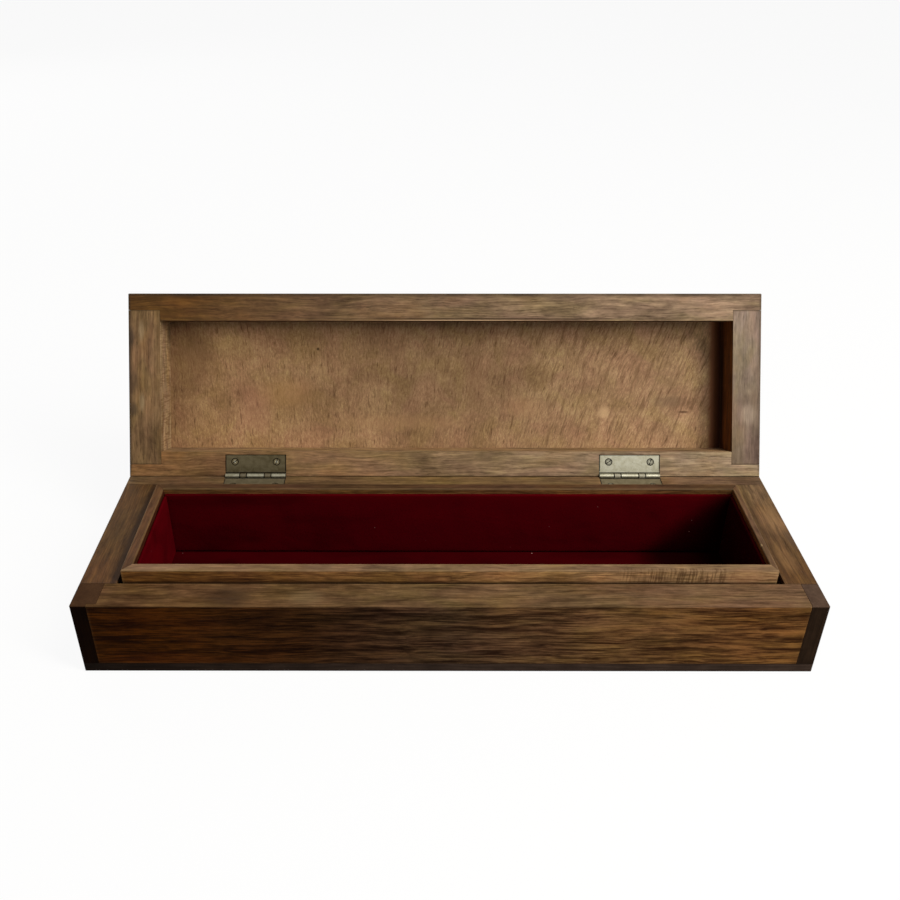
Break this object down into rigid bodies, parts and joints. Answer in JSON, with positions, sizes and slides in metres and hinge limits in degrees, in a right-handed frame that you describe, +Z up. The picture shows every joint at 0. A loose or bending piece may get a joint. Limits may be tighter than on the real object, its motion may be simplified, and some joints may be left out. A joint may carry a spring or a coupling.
{
  "type": "knife display case",
  "caption": "Long, shallow hardwood display case with a raised mitred liner round a velvet-lined well, and a recessed lid standing open on butt hinges.",
  "frame": {"origin": "centre of the case's underside, the flat face that it rests on", "axes": "+Z up, -Y towards the front, +X along the length to the right"},
  "size_m": [0.4, 0.1965, 0.1507],
  "materials": {
    "stained_oak": "brown stain under thin satin oil",
    "dark_wood": "dark stain, sanded smooth",
    "stained_plywood": "stained veneer, matt",
    "red_velvet": "short dense pile",
    "nickel_plate": "worn nickel plate, satin"
  },
  "bodies": {
    "case": {"case_front_board": "stained_oak", "case_back_board": "stained_oak", "case_left_board": "stained_oak", "case_right_board": "stained_oak", "case_bottom_panel": "dark_wood", "left_corner_post": "dark_wood", "right_corner_post": "dark_wood", "liner_front_strip": "stained_oak", "liner_back_strip": "stained_oak", "liner_left_strip": "stained_oak", "liner_right_strip": "stained_oak", "lining_floor_pad": "red_velvet", "lining_front_card": "red_velvet", "lining_back_card": "red_velvet", "lining_left_card": "red_velvet", "lining_right_card": "red_velvet", "left_hinge_case_leaf": "nickel_plate", "left_hinge_pin": "nickel_plate", "left_hinge_case_screw_1": "nickel_plate", "left_hinge_case_screw_2": "nickel_plate", "right_hinge_case_leaf": "nickel_plate", "right_hinge_pin": "nickel_plate", "right_hinge_case_screw_1": "nickel_plate", "right_hinge_case_screw_2": "nickel_plate"},
    "lid": {"lid_front_rail": "stained_oak", "lid_back_rail": "stained_oak", "lid_left_stile": "stained_oak", "lid_right_stile": "stained_oak", "lid_top_panel": "stained_plywood", "left_hinge_lid_leaf": "nickel_plate", "left_hinge_lid_screw_1": "nickel_plate", "left_hinge_lid_screw_2": "nickel_plate", "right_hinge_lid_leaf": "nickel_plate", "right_hinge_lid_screw_1": "nickel_plate", "right_hinge_lid_screw_2": "nickel_plate"}
  },
  "joints": [
    {"name": "lid_hinge", "type": "hinge", "parent": "case", "child": "lid", "pos_m": [0, 0.0561, 0.0493], "axis": [1, 0, 0], "range_deg": [0, 118]}
  ]
}
